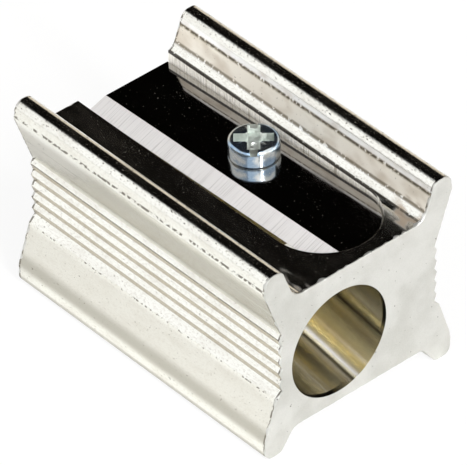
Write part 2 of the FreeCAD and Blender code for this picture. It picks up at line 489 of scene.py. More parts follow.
        # Painted shade in greyer bands along the sides.
        coloured = self.draw_lines(paint, coloured, across, z, dashes, self.streaks)
        coloured = paint.tint(coloured, film, self.film_colour)
        tan = paint.join(Blend.PRODUCT, film, paint.zone(z, self.tan_z))
        coloured = paint.tint(coloured, tan, self.tan_colour)
        smeared = paint.join(Blend.PRODUCT, film, paint.mask(blotches, self.smear))
        coloured = paint.tint(coloured, smeared, self.smear.colour)
        coloured = paint.tint(coloured, stain, self.stain.colour)
        # Burrs, and thin lines of painted shade and painted highlight.
        coloured = self.draw_lines(paint, coloured, across, z, dashes, self.burrs_and_painted_lines)
        # Painted shade in dashes along the edges of the sawn ends.
        sawn_edge_shade = paint.join(
            Blend.PRODUCT, paint.zone(paint.apart(y), self.sawn_edge_shade_y), paint.mask(dashes, self.sawn_edge_shade),
        )
        coloured = paint.tint(coloured, sawn_edge_shade, self.sawn_edge_shade.colour)
        coloured = paint.tint(coloured, pits, self.pit.colour)
        coloured = paint.tint(coloured, dust, self.dust.colour)
        dulling = paint.up_to(film, self.film_dulling)
        rough = paint.join(
            Blend.SUM, self.vary(paint, clouds, self.sheen), paint.up_to(pits, self.pit_roughness), dulling,
        )
        covered = paint.join(Blend.LARGER, dust, dulling, stain)
        paint.feed(Base_Color=coloured, Roughness=rough, Metallic=paint.up_to(covered, self.least_metal, 1.0))
        rim = paint.between(z, *(height * MM for height in self.rim_z), *self.rim_grain)
        calm = paint.between(z, *(height * MM for height in self.calm_z), 1.0, self.calm_grain)
        pitted = paint.join(Blend.PRODUCT, speckles, rim, calm)
        paint.relief(paint.join(Blend.SUM, paint.noise(self.die_lines), pitted), self.line_depth)


@dataclass(frozen=True)
class SawnEnd(Finish):
    """Magnesium alloy cut off by a circular saw and tumbled.

    The eye sees a matte, pale face with faint slanting saw marks and a few dark pits. The tumbled grain is
    finer than a pixel of the picture, so it is drawn about twice as coarse.
    """

    saw_marks: Grain = Grain((2.7, 0.09, 0.09), 2.0, (0, 24, 0))
    tumbling: Grain = Grain((0.09, 0.09, 0.09))
    clouds: Grain = Grain((2.2, 2.2, 2.2), 3.0)
    pitting: Grain = Grain((0.22, 0.22, 0.22), 1.0, (11, 47, 23))
    cloud: Mark = Mark("#C5C5C1", 0.3, 0.75)
    pit: Mark = Mark("#4A463F", 0.755, 0.79)
    sheen: Sheen = Sheen(0.3, 0.7, 0.85, 1.15)
    mark_depth: float = 0.006

    def pattern(self, paint: Painter) -> None:
        """Draw faint saw marks, a fine tumbled grain and sparse pits.

        Args:
            paint: Painter of the material.
        """
        grain = paint.noise(self.tumbling)
        coloured = paint.mark(self.colour, paint.noise(self.clouds), self.cloud)
        coloured = paint.mark(coloured, paint.noise(self.pitting), self.pit)
        paint.feed(Base_Color=coloured, Roughness=self.vary(paint, grain, self.sheen))
        paint.relief(paint.join(Blend.SUM, paint.noise(self.saw_marks), grain), self.mark_depth)


@dataclass(frozen=True)
class PaintedBoreLine:
    """A line of painted highlight, or of painted shade, along the bore, placed in turns about the bore's
    axis.
    """

    turn: float
    half_width: float
    colour: str


@dataclass(frozen=True)
class ReamedBore(Finish):
    """Magnesium alloy cut by a tapered reamer.

    The eye sees a warm tarnishing in bands along the hole, painted highlight lines and a painted dark line
    along it, a few scored rings, and painted shade on two opposite sides and at the mouth's rim. The
    reamer's fine rings draw the light out along the hole. They are too fine to show one by one, so only
    coarser ones are drawn.
    """

    rings: Grain = Grain((40.0, 0.12, 40.0), 3.0, (10.0, 0, 0))
    bands: Grain = Grain((1.1, 60.0, 1.1), 2.0, (10.0, 0, 0))
    streaks: Grain = Grain((0.4, 60.0, 0.4), 1.0, (10.0, 0, 0))
    band: Mark = Mark("#DDD3AC", 0.4, 0.6)
    streak: Mark = Mark("#A0967A", 0.66, 0.72)
    scored: Mark = Mark("#5E563C", 0.69, 0.71)
    sheen: Sheen = Sheen(0.3, 0.7, 0.96, 1.05)
    ring_depth: float = 0.0001
    # Painted highlights and one painted dark line along the hole, at turns about its axis.
    painted_lines: tuple[PaintedBoreLine, ...] = (
        PaintedBoreLine(0.161, 0.016, "#D2C699"),
        PaintedBoreLine(0.200, 0.008, "#6E6548"),
        PaintedBoreLine(0.185, 0.008, WHITE),
        PaintedBoreLine(0.280, 0.004, WHITE),
    )
    # Painted shade on two opposite sides of the hole, and at the mouth's rim beside them.
    shaded_side_turn: float = 0.394
    side_shade_reach: Span = (0.01, 0.07)
    side_shade: str = "#40361E"
    rim_y: Zone = Zone(-12.4, -12.05, 0.15)
    rim_reach: Span = (0.12, 0.19)
    rim_shade_colour: str = "#120E08"

    def pattern(self, paint: Painter) -> None:
        """Draw the bands of warm tarnishing, the rings, the painted highlight lines and the painted shade on
        the sides and at the rims.

        Args:
            paint: Painter of the material.
        """
        rings = paint.noise(self.rings)
        coloured = paint.mark(self.colour, paint.noise(self.bands), self.band)
        coloured = paint.mark(coloured, paint.noise(self.streaks), self.streak)
        coloured = paint.mark(coloured, rings, self.scored)
        around = add_node(paint.tree, "ShaderNodeUVMap", {"uv_map": PencilHole.UV_NAME}).outputs["UV"]
        _, turns, _ = Painter(paint.tree, place=around).axes()
        # Painted highlights and a painted dark line at set turns.
        for line in self.painted_lines:
            start = paint.between(turns, line.turn - line.half_width, line.turn)
            end = paint.between(turns, line.turn, line.turn + line.half_width, 1.0, 0.0)
            coloured = paint.tint(coloured, paint.join(Blend.PRODUCT, start, end), line.colour)
        # Painted shade on two opposite sides of the hole.
        past_side = paint.join(Blend.SUM, turns, -self.shaded_side_turn)
        from_side = paint.join(Blend.FOLD, past_side, QUARTER_TURN)
        shaded_sides = paint.between(from_side, *self.side_shade_reach, 1.0, 0.0)
        coloured = paint.tint(coloured, shaded_sides, self.side_shade)
        _, y, _ = paint.axes()
        # Painted shade at the mouth's rim, near the shaded sides.
        rim = paint.join(
            Blend.PRODUCT, paint.zone(y, self.rim_y), paint.between(from_side, *self.rim_reach, 1.0, 0.0),
        )
        coloured = paint.tint(coloured, rim, self.rim_shade_colour)
        paint.feed(Base_Color=coloured, Roughness=self.vary(paint, rings, self.sheen))
        paint.stretch_along(PencilHole.UV_NAME)
        paint.relief(rings, self.ring_depth)


@dataclass(frozen=True)
class MilledSeat(Finish):
    """Metal cut by a tool that leaves marks across the block, such as an end mill or a shear.

    The eye sees bright metal with short fine marks, and a painted shadow line along the pocket's upper rim.
    """

    tool_marks: Grain = Grain((3.0, 0.25, 3.0))
    marked: Mark = Mark("#A8A193", 0.55, 0.7)
    sheen: Sheen = Sheen(0.3, 0.7, 0.7, 1.4)
    mark_depth: float = 0.004
    # Painted shadow line along the pocket's upper rim.
    rim_x: Zone = Zone(5.2, 5.6)
    rim_z: Zone = Zone(12.33, 12.7, 0.08)
    rim_shade_colour: str = "#2E2A24"

    def pattern(self, paint: Painter) -> None:
        """Draw the tool's marks and the painted shadow at the rim.

        Args:
            paint: Painter of the material.
        """
        x, _, z = paint.axes()
        marks = paint.noise(self.tool_marks)
        # Painted shadow along the pocket's upper rim.
        rim = paint.join(Blend.PRODUCT, paint.zone(x, self.rim_x), paint.zone(z, self.rim_z))
        coloured = paint.mark(self.colour, marks, self.marked)
        coloured = paint.tint(coloured, rim, self.rim_shade_colour)
        paint.feed(Base_Color=coloured, Roughness=self.vary(paint, marks, self.sheen))
        paint.relief(marks, self.mark_depth)


@dataclass(frozen=True)
class PolishedSteel(Finish):
    """Hardened carbon steel strip, bright rolled and polished.

    The eye sees a near mirror with hairlines along the blade, oily smears and a little dust. Real hairlines
    are a hundredth of a millimetre wide, so they are drawn about five times as coarse.
    """

    hairs: Grain = Grain((0.05, 12.0, 0.05))
    smears: Grain = Grain((2.6, 3.4, 2.6), 3.0, (0, 0, 20))
    dusting: Grain = Grain((0.15, 0.15, 0.15), 1.0, (13, 29, 41))
    dust: Mark = Mark("#77736C", 0.745, 0.79)
    sheen: Sheen = Sheen(0.35, 0.75, 0.8, 1.8)
    hair_limits: Span = (0.62, 0.72)
    hair_roughness: float = 0.05
    least_metal: float = 0.35

    def pattern(self, paint: Painter) -> None:
        """Draw hairlines, smears and dust.

        Args:
            paint: Painter of the material.
        """
        dust = paint.mask(paint.noise(self.dusting), self.dust)
        scored = paint.between(paint.noise(self.hairs), *self.hair_limits, 0.0, self.hair_roughness)
        smooth = self.vary(paint, paint.noise(self.smears), self.sheen)
        paint.feed(
            Base_Color=paint.tint(self.colour, dust, self.dust.colour),
            Roughness=paint.join(Blend.SUM, smooth, scored),
            Metallic=paint.up_to(dust, self.least_metal, 1.0),
        )


@dataclass(frozen=True)
class GroundBevel(Finish):
    """Hardened carbon steel ground on a cup wheel.

    The eye sees a pale satin strip with fine lines across the cutting edge. The wheel's grit leaves lines
    of a few hundredths of a millimetre, so they are drawn about twice as coarse.
    """

    grit_lines: Grain = Grain((6.0, 0.07, 6.0), 3.0, (0, 0, 4))
    clouds: Grain = Grain((3.0, 0.6, 3.0))
    lined: Mark = Mark("#B9B6B5", 0.5, 0.75)
    sheen: Sheen = Sheen(0.3, 0.7, 0.98, 1.03)
    line_depth: float = 0.004

    def pattern(self, paint: Painter) -> None:
        """Draw the grinding lines, which run across the blade.

        Args:
            paint: Painter of the material.
        """
        lines = paint.noise(self.grit_lines)
        paint.feed(
            Base_Color=paint.mark(self.colour, lines, self.lined),
            Roughness=self.vary(paint, paint.noise(self.clouds), self.sheen),
        )
        paint.stretch_along(Blade.UV_NAME)
        paint.relief(lines, self.line_depth)


@dataclass(frozen=True)
class ZincPlate(Finish):
    """Bright zinc plate with a blue passivated film: glossy, faintly iridescent, a little lumpy."""

    film_clouds: Grain = Grain((0.9, 0.9, 0.9), 2.0, (20, 40, 10))
    lumps: Grain = Grain((0.3, 0.3, 0.3))
    film: Mark = Mark("#93ABC4", 0.35, 0.65)
    sheen: Sheen = Sheen(0.3, 0.75, 0.7, 1.5)
    lump_depth: float = 0.004

    def pattern(self, paint: Painter) -> None:
        """Draw the film's change of tint and the plate's soft lumps.

        Args:
            paint: Painter of the material.
        """
        lumps = paint.noise(self.lumps)
        paint.feed(
            Base_Color=paint.mark(self.colour, paint.noise(self.film_clouds), self.film),
            Roughness=self.vary(paint, lumps, self.sheen),
        )
        paint.relief(lumps, self.lump_depth)


DRAWN_SKIN = DrawnSkin("drawn_magnesium", "#EFEFE9", 0.16)
SAWN_END = SawnEnd("sawn_magnesium", "#D4D4D1", 0.5)
REAMED_BORE = ReamedBore("reamed_magnesium", "#FBF6E6", 0.22, anisotropy=1.0)
MILLED_SEAT = MilledSeat("milled_magnesium", "#F3F0E8", 0.28, metallic=0.2)
POLISHED_STEEL = PolishedSteel("polished_blade_steel", "#B0ADA9", 0.06)
GROUND_BEVEL = GroundBevel("ground_blade_steel", "#E4E2E1", 0.6, anisotropy=0.8)
SHEARED_EDGE = MilledSeat("sheared_blade_steel", "#BDBAB4", 0.3)
ZINC_PLATE = ZincPlate("blue_passivated_zinc", "#D2D8DA", 0.15, metallic=0.97)
# The driver's recess is duller and greyer than the head, because the plate is thin and rough down there.
ZINC_RECESS = ZincPlate("cold_forged_zinc_recess", "#DDE1DD", 0.55, film=Mark("#C6CDC8", 0.35, 0.65))


def largest_face(mesh: Mesh) -> Face:
    """Face with the largest area."""
    return max(mesh.faces, key=lambda face: face.calc_area())


def round_corners(mesh: Mesh, verts: list[bmesh.types.BMVert], reach: float, steps: int) -> None:
    """Round corners of a flat face, from a given distance before each corner."""
    bmesh.ops.bevel(
        mesh, geom=verts, offset=reach, offset_type="OFFSET", segments=steps, profile=ROUND_PROFILE,
        affect="VERTICES", material=-1, clamp_overlap=False,
    )


def break_edges(mesh: Mesh, edges: list[bmesh.types.BMEdge], width: float, material: int = -1,
                clamp: bool = True) -> None:
    """Break sharp edges to a narrow round.

    Args:
        mesh: Mesh to change.
        edges: Edges to break.
        width: Width of the broken edge in millimetres.
        material: Material number of the new faces; -1 takes it from the faces beside them.
        clamp: Whether the width shrinks where edges are too short for it.
    """
    bmesh.ops.bevel(
        mesh, geom=edges, offset=width, offset_type="OFFSET", segments=BREAK_STEPS,
        profile=ROUND_PROFILE, affect="EDGES", material=material, clamp_overlap=clamp,
    )


def corner_face(mesh: Mesh, corners: list[Point], place: Callable[[float, float], Point]) -> Face:
    """Make a flat face through corners and round those that have a radius.

    Args:
        mesh: Mesh that the face goes into.
        corners: First and second coordinate and rounding radius of each corner, in order.
        place: Turns the two coordinates into a point.

    Returns:
        The face with its rounded corners.
    """
    spots = [Vector(place(first, second)) for first, second, _ in corners]
    verts = [mesh.verts.new(spot) for spot in spots]
    mesh.faces.new(verts)
    for index, (_, _, radius) in enumerate(corners):
        if radius == 0:
            continue
        to_last = spots[index - 1] - spots[index]
        to_next = spots[(index + 1) % len(spots)] - spots[index]
        tangent = radius / math.tan(to_last.angle(to_next) / 2)
        longest = LONGEST_ROUND * min(to_last.length, to_next.length)
        round_corners(mesh, [verts[index]], min(tangent, longest), ROUND_STEPS)
    return largest_face(mesh)


def extrude(mesh: Mesh, face: Face, along: Point) -> None:
    """Extrude a face to a closed solid.

    Args:
        mesh: Mesh that holds the face.
        face: Face to extrude; it stays as one end.
        along: Direction and length of the extrusion.
    """
    made = bmesh.ops.extrude_face_region(mesh, geom=[face], use_keep_orig=True)
    moved = [item for item in made["geom"] if isinstance(item, bmesh.types.BMVert)]
    bmesh.ops.translate(mesh, verts=moved, vec=along)
    bmesh.ops.recalc_face_normals(mesh, faces=mesh.faces)


def turned(outline: list[Point], steps: int) -> Mesh:
    """Turn an outline about Z to a closed solid.

    Args:
        outline: Radius, height and rounding radius of each corner; it starts and ends on the axis.
        steps: Segments round the axis.

    Returns:
        A new mesh with the solid.
    """
    mesh = bmesh.new()
    face = corner_face(mesh, outline, lambda radius, height: (radius, 0, height))
    on_axis = [edge for edge in face.edges if all(abs(vert.co.x) < ON_AXIS for vert in edge.verts)]
    bmesh.ops.delete(mesh, geom=[face], context="FACES_ONLY")
    bmesh.ops.delete(mesh, geom=on_axis, context="EDGES")
    bmesh.ops.spin(
        mesh, geom=mesh.verts[:] + mesh.edges[:], cent=(0, 0, 0), axis=(0, 0, 1), dvec=(0, 0, 0),
        angle=2 * math.pi, steps=steps, use_merge=True, use_duplicate=False,
    )
    bmesh.ops.remove_doubles(mesh, verts=mesh.verts, dist=MERGE_DISTANCE)
    bmesh.ops.recalc_face_normals(mesh, faces=mesh.faces)
    return mesh


def slice_off(mesh: Mesh, place: Point, outwards: Point) -> list[bmesh.types.BMEdge]:
    """Cut away what lies beyond a plane.

    Args:
        mesh: Mesh to cut.
        place: A point on the plane.
        outwards: Direction of the side that goes.

    Returns:
        The edges of the cut.
    """
    everything = mesh.verts[:] + mesh.edges[:] + mesh.faces[:]
    cut = bmesh.ops.bisect_plane(
        mesh, geom=everything, plane_co=place, plane_no=outwards, clear_outer=True,
    )
    return [item for item in cut["geom_cut"] if isinstance(item, bmesh.types.BMEdge)]


@contextmanager
def editing(piece: Piece) -> Iterator[Mesh]:
    """Open a piece's mesh for changes and write them back.

    Args:
        piece: Object whose mesh is changed.

    Yields:
        The mesh to change.
    """
    mesh = bmesh.new()
    mesh.from_mesh(piece.data)
    yield mesh
    mesh.to_mesh(piece.data)
    mesh.free()


def as_object(name: str, mesh: Mesh, finishes: list[bpy.types.Material]) -> Piece:
    """Put a finished bmesh into the scene as an object.

    Args:
        name: Object name.
        mesh: Mesh, which is freed.
        finishes: Materials in the order of the faces' material numbers.

    Returns:
        The new object.
    """
    data = bpy.data.meshes.new(name)
    for finish in finishes:
        data.materials.append(finish)
    mesh.to_mesh(data)
    mesh.free()
    piece = bpy.data.objects.new(name, data)
    bpy.context.scene.collection.objects.link(piece)
    return piece


def carve(piece: Piece, cutters: list[Piece]) -> None:
    """Cut shapes out of a piece; the cut faces take the cutters' materials.

    Args:
        piece: Object to cut.
        cutters: Objects to cut away, which are removed afterwards.
    """
    for cutter in cutters:
        cut = piece.modifiers.new(cutter.name, "BOOLEAN")
        cut.operation = "DIFFERENCE"
        cut.solver = "EXACT"
        cut.material_mode = "TRANSFER"
        cut.object = cutter
    graph = bpy.context.evaluated_depsgraph_get()
    carved = bpy.data.meshes.new_from_object(piece.evaluated_get(graph), depsgraph=graph)
    piece.modifiers.clear()
    piece.data = carved
    for cutter in cutters:
        bpy.data.objects.remove(cutter)


def ease_edges(piece: Piece, pairs: list[set[str]], width: float) -> None:
    """Break the sharp edges between faces of two given materials.

    Args:
        piece: Object to change.
        pairs: Pairs of material names whose shared edges are eased.
        width: Width of the eased edge in millimetres.
    """
    names = [slot.material.name for slot in piece.material_slots]
    with editing(piece) as mesh:
        break_edges(mesh, [
            edge for edge in mesh.edges
            if len(edge.link_faces) == 2
            and {names[face.material_index] for face in edge.link_faces} in pairs
            and edge.calc_face_angle() > SHARP_ANGLE
        ], width)


def finish_piece(piece: Piece, node: str, body: str) -> Piece:
    """Scale a piece to metres, smooth its rounds, and tie it to the frame.

    Args:
        piece: Object whose mesh is in millimetres.
        node: CAD node that it stands for.
        body: CAD body that it moves with.

    Returns:
        The same object.
    """
    piece.data.transform(Matrix.Scale(MM, 4))
    piece.data.shade_smooth()
    piece.data.set_sharp_from_angle(angle=SHARP_ANGLE)
    weighted = piece.modifiers.new("weighted_normals", "WEIGHTED_NORMAL")
    weighted.keep_sharp = True
    weighted.weight = LARGEST_WEIGHT
    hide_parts(node)
    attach(piece, body)
    return piece


@dataclass
class PencilHole:
    """Round mouth and cone on the tilted axis of the pencil."""

    UV_NAME = "reaming"

    mouth_y: float
    radius: float = 4.1
    center_x: float = -1.7223
    mouth_height: float = 6.55
    tilt: float = 10.0136
    cone_start: float = 7.1276
    point_reach: float = 27.6208
    steps: int = 128

    def place(self) -> Matrix:
        """Matrix from the tool's own frame, with its axis on Z, to the block."""
        turn = Matrix.Rotation(math.radians(self.tilt - 90), 4, "X")
        return Matrix.Translation((self.center_x, self.mouth_y, self.mouth_height)) @ turn

    def cutter(self) -> Piece:
        """Build the shape that is cut from the block.

        Returns:
            The cutter, finished as the reamed hole.
        """
        mesh = turned([
            (0, -OVERCUT, 0),
            (self.radius, -OVERCUT, 0),
            (self.radius, self.cone_start, 0),
            (0, self.point_reach, 0),
        ], self.steps)
        bmesh.ops.transform(mesh, matrix=self.place(), verts=mesh.verts)
        return as_object("pencil_hole_cutter", mesh, [REAMED_BORE.material()])

    def map_reaming(self, piece: Piece) -> None:
        """Lay a UV map in the hole: U runs along the pencil, V counts turns about its axis.

        Args:
            piece: The carved block.
        """
        to_tool = self.place().inverted()
        with editing(piece) as mesh:
            layer = mesh.loops.layers.uv.new(self.UV_NAME)
            for face in mesh.faces:
                middle = to_tool @ face.calc_center_median()
                middle_angle = math.atan2(middle.y, middle.x)
                for loop in face.loops:
                    spot = to_tool @ loop.vert.co
                    turn = math.remainder(math.atan2(spot.y, spot.x) - middle_angle, 2 * math.pi)
                    loop[layer].uv = (spot.z / self.point_reach, (middle_angle + turn) / (2 * math.pi))


@dataclass
class BladeSeat:
    """Flat pocket with a round front end, milled at a slant and open at the back."""

    mouth_y: float
    slant: float = 1.3
    height: float = 11.72
    left: float = -2.6223
    right: float = 5.3123
    front_wall: float = 1.0
    depth: float = 5.0
    round_steps: int = 40
    screw_x: float = 2.6923
    screw_along: float = 13.1

    @property
    def radius(self) -> float:
        """Radius of the round front end."""
        return (self.right - self.left) / 2

    @property
    def middle(self) -> float:
        """Middle of the pocket across the block."""
        return (self.right + self.left) / 2

    @property
    def round_center(self) -> float:
        """Centre of the round end, along the seat from the mouth."""
        return self.front_wall + self.radius

    def place(self) -> Matrix:
        """Matrix from seat coordinates (across, along from the mouth, out) to the block."""
        turn = Matrix.Rotation(math.radians(-self.slant), 4, "X")
        return Matrix.Translation((0, self.mouth_y, self.height)) @ turn

    def round_ended_face(self, mesh: Mesh, radius: float, end: float) -> Face:
        """Flat face on the seat, rounded about the seat's centre in front.

        Args:
            mesh: Mesh that the face goes into.
            radius: Radius of the front end, which is half the width.
            end: Straight back end, along the seat from the mouth.

        Returns:
            The face.
        """
        left = self.middle - radius
        right = self.middle + radius
        front = self.round_center - radius
        corners = ((left, front), (right, front), (right, end), (left, end))
        verts = [mesh.verts.new((across, along, 0)) for across, along in corners]
        mesh.faces.new(verts)
        round_corners(mesh, verts[:2], radius * FULL_ROUND, self.round_steps)
        return largest_face(mesh)

    def cutter(self, length: float) -> Piece:
        """Build the shape that is cut from the block.

        Args:
            length: Length of the block.

        Returns:
            The cutter, finished as the milled pocket.
        """
        mesh = bmesh.new()
        face = self.round_ended_face(mesh, self.radius, length + OVERCUT)
        extrude(mesh, face, (0, 0, self.depth))
        bmesh.ops.transform(mesh, matrix=self.place(), verts=mesh.verts)
        return as_object("blade_seat_cutter", mesh, [MILLED_SEAT.material()])


@dataclass
class Block:
    """Extruded light-metal block with the pencil hole, the blade seat and the screw hole cut into it."""

    length: float = 24.6
    height: float = 15.15
    waist_half: float = 6.8823
    foot_rise: float = 1.57
    foot_width: float = 1.4
    foot_flare: float = 1.3
    foot_side: float = 1.6
    foot_lean: float = 36.0
    foot_rounds: tuple[float, float, float, float] = (0.7, 0.55, 0.75, 2.0)
    lip_height: float = 4.65
    lip_flare: float = 0.28
    lip_rise: float = 0.49
    groove_count: int = 5
    groove_pitch: float = 0.93
    groove_rise: float = 0.36
    groove_depth: float = 0.22
    flank_hollow: float = 0.1
    flank_round: float = 12.0
    channel_floor: float = 12.45
    channel_half: float = 5.6123
    ear_flare: float = 1.27
    ear_width: float = 1.55
    ear_drop: float = 1.2
    ear_back: float = 0.2
    ear_rounds: tuple[float, float, float] = (0.5, 0.75, 0.7)
    channel_round: float = 1.0
    end_break: float = 0.06
    chip_length: float = 0.4
    chip_depth: float = 0.3
    chip_bias: float = 0.1
    chip_step: float = 0.15
    rim_break: float = 0.05
    screw_hole_radius: float = 1.05
    screw_hole_depth: float = 4.6
    drill_point: float = 0.6
    screw_hole_steps: int = 48

    @property
    def mouth_y(self) -> float:
        """Where the mouth's face lies along the block."""
        return -self.length / 2

    def corners(self) -> list[Point]:
        """Work out the right half of the section.

        Returns:
            Corners from the underside to the channel floor, as (x, z, radius).
        """
        foot_half = self.waist_half + self.foot_flare
        ear_half = self.waist_half + self.ear_flare
        heel = foot_half - self.foot_width
        inner, heel_round, toe, side = self.foot_rounds
        tip, top, inside = self.ear_rounds
        found = [
            (heel - self.foot_rise * math.tan(math.radians(self.foot_lean)), self.foot_rise, inner),
            (heel, 0.0, heel_round),
            (foot_half, 0.0, toe),
            (foot_half, self.foot_side, side),
            (self.waist_half + self.lip_flare, self.lip_height, 0.0),
        ]
        groove_x = self.waist_half - self.groove_depth
        for groove in range(self.groove_count):
            low = self.lip_height + self.lip_rise + groove * self.groove_pitch
            found.append((groove_x, low, 0.0))
            found.append((self.waist_half, low + self.groove_pitch - self.groove_rise, 0.0))
        flank_foot = self.lip_height + self.lip_rise + self.groove_count * self.groove_pitch
        tip_height = self.height - self.ear_drop
        flank_x = (self.waist_half + ear_half) / 2 - self.flank_hollow
        found += [
            (groove_x, flank_foot, 0.0),
            (flank_x, (flank_foot + tip_height) / 2, self.flank_round),
            (ear_half, tip_height, tip),
            (ear_half - self.ear_back, self.height, top),
            (ear_half - self.ear_width, self.height, inside),
            (self.channel_half, self.channel_floor, self.channel_round),
        ]
        return found

    def blank(self) -> Piece:
        """Build the drawn and sawn-off length of section.

        Returns:
            The blank, with its skin and its ends finished differently.
        """
        right = self.corners()
        left = [(-x, z, radius) for x, z, radius in reversed(right)]
        mesh = bmesh.new()
        face = corner_face(mesh, right + left, lambda x, z: (x, self.mouth_y, z))
        extrude(mesh, face, (0, self.length, 0))
        finishes = [DRAWN_SKIN, SAWN_END]
        sawn = finishes.index(SAWN_END)
        ends = [face for face in mesh.faces if abs(face.normal.y) > FACING]
        for end in ends:
            end.material_index = sawn
        for edge in {edge for end in ends for edge in end.edges}:
            cuts = int(edge.calc_length() / self.chip_step)
            if cuts:
                bmesh.ops.subdivide_edges(mesh, edges=[edge], cuts=cuts)
        outline = list({edge for end in ends for edge in end.edges})
        break_edges(mesh, outline, self.end_break, material=sawn, clamp=False)
        self.chip_ends(mesh)
        return as_object("drawn_block", mesh, [finish.material() for finish in finishes])

    def chip_ends(self, mesh: Mesh) -> None:
        """Make the broken edges of the sawn ends ragged, as a saw tears them.

        Args:
            mesh: The blank, with its end outlines already bevelled.
        """
        for vert in mesh.verts:
            inset = self.length / 2 - abs(vert.co.y)
            if not 0 < inset <= self.end_break * NEARLY_SAME:
                continue
            tear = max(0.0, noise.noise(vert.co / self.chip_length) + self.chip_bias) * self.chip_depth
            vert.co.y -= math.copysign(tear * inset / self.end_break, vert.co.y)

    def screw_hole_cutter(self, seat: BladeSeat) -> Piece:
        """Build the hole for the blade's screw.

        Args:
            seat: Seat that the hole goes down from.

        Returns:
            The cutter, finished as milled metal.
        """
        mesh = turned([
            (0, OVERCUT, 0),
            (self.screw_hole_radius, OVERCUT, 0),
            (self.screw_hole_radius, -self.screw_hole_depth, 0),
            (0, -self.screw_hole_depth - self.screw_hole_radius * self.drill_point, 0),
        ], self.screw_hole_steps)
        bmesh.ops.translate(mesh, verts=mesh.verts, vec=(seat.screw_x, seat.screw_along, 0))
        bmesh.ops.transform(mesh, matrix=seat.place(), verts=mesh.verts)
        return as_object("screw_hole_cutter", mesh, [bpy.data.materials[MILLED_SEAT.name]])

    def build(self, hole: PencilHole, seat: BladeSeat) -> Piece:
        """Build the finished block.

        Args:
            hole: Pencil hole, which is cut into the block.
            seat: Blade seat, which is cut into the block.

        Returns:
            The block, tied to its CAD node.
        """
        piece = self.blank()
        carve(piece, [hole.cutter(), seat.cutter(self.length), self.screw_hole_cutter(seat)])
        ease_edges(piece, [
            {REAMED_BORE.name, SAWN_END.name},
            {MILLED_SEAT.name, DRAWN_SKIN.name},
        ], self.rim_break)
        hole.map_reaming(piece)
        return finish_piece(piece, "sharpener_block", "block")


@dataclass
class Blade:
    """Flat steel blade with a round front end, a ground bevel on its cutting edge and a screw hole."""

    UV_NAME = "grinding"

    thickness: float = 0.48
    clearance: float = 0.12
    edge_x: float = -1.6723
    edge_land: float = 0.03
    bevel_width: float = 1.45
    end: float = 24.5563
    hole_radius: float = 1.15
    hole_steps: int = 64
    edge_break: float = 0.025
    # Limits on a face's normal that tell the flat sides, the bevel and the narrow edges apart.
    upright: float = 0.5
    leaning: float = 0.1

    def strip(self, seat: BladeSeat) -> Piece:
        """Build the blade without its hole, flat on the seat's plane.

        Args:
            seat: Seat whose round front end the blade follows.

        Returns:
            The strip, with its bevel and its edges finished differently.
        """
        mesh = bmesh.new()
        seat.round_ended_face(mesh, seat.radius - self.clearance, self.end)
        slice_off(mesh, (self.edge_x, 0, 0), (-1, 0, 0))
        extrude(mesh, largest_face(mesh), (0, 0, self.thickness))
        rise = self.thickness - self.edge_land
        rim = slice_off(mesh, (self.edge_x, 0, self.edge_land), (-rise, 0, self.bevel_width))
        bmesh.ops.holes_fill(mesh, edges=rim, sides=0)
        bmesh.ops.recalc_face_normals(mesh, faces=mesh.faces)
        finishes = [POLISHED_STEEL, GROUND_BEVEL, SHEARED_EDGE]
        for face in mesh.faces:
            if face.normal.z > self.upright and face.normal.x < -self.leaning:
                face.material_index = finishes.index(GROUND_BEVEL)
            elif abs(face.normal.z) < self.upright:
                face.material_index = finishes.index(SHEARED_EDGE)
        return as_object("ground_blade", mesh, [finish.material() for finish in finishes])

    def drill(self, seat: BladeSeat) -> Piece:
        """Build the hole for the screw.

        Args:
            seat: Seat that the blade lies in.

        Returns:
            The cutter, finished as a sheared edge.
        """
        mesh = turned([
            (0, -OVERCUT, 0),
            (self.hole_radius, -OVERCUT, 0),
            (self.hole_radius, OVERCUT, 0),
            (0, OVERCUT, 0),
        ], self.hole_steps)
        bmesh.ops.translate(mesh, verts=mesh.verts, vec=(seat.screw_x, seat.screw_along, 0))
        return as_object("blade_drill", mesh, [bpy.data.materials[SHEARED_EDGE.name]])

    def map_grinding(self, piece: Piece) -> None:
        """Lay a UV map whose U runs along the blade, for the stretched highlights of its bevel.

        Args:
            piece: The blade, still flat on the seat's plane.
        """
        with editing(piece) as mesh:
            layer = mesh.loops.layers.uv.new(self.UV_NAME)
            for face in mesh.faces:
                for loop in face.loops:
                    loop[layer].uv = (loop.vert.co.y / self.end, loop.vert.co.x / self.end)

    def build(self, seat: BladeSeat) -> Piece:
        """Build the blade, lying in its seat.

        Args:
            seat: Seat that the blade lies in.

        Returns:
            The blade, tied to its CAD node.
        """
        piece = self.strip(seat)
        carve(piece, [self.drill(seat)])
        ease_edges(piece, [{POLISHED_STEEL.name, SHEARED_EDGE.name}], self.edge_break)
        self.map_grinding(piece)
        piece.data.transform(seat.place())
        return finish_piece(piece, "blade", "blade")


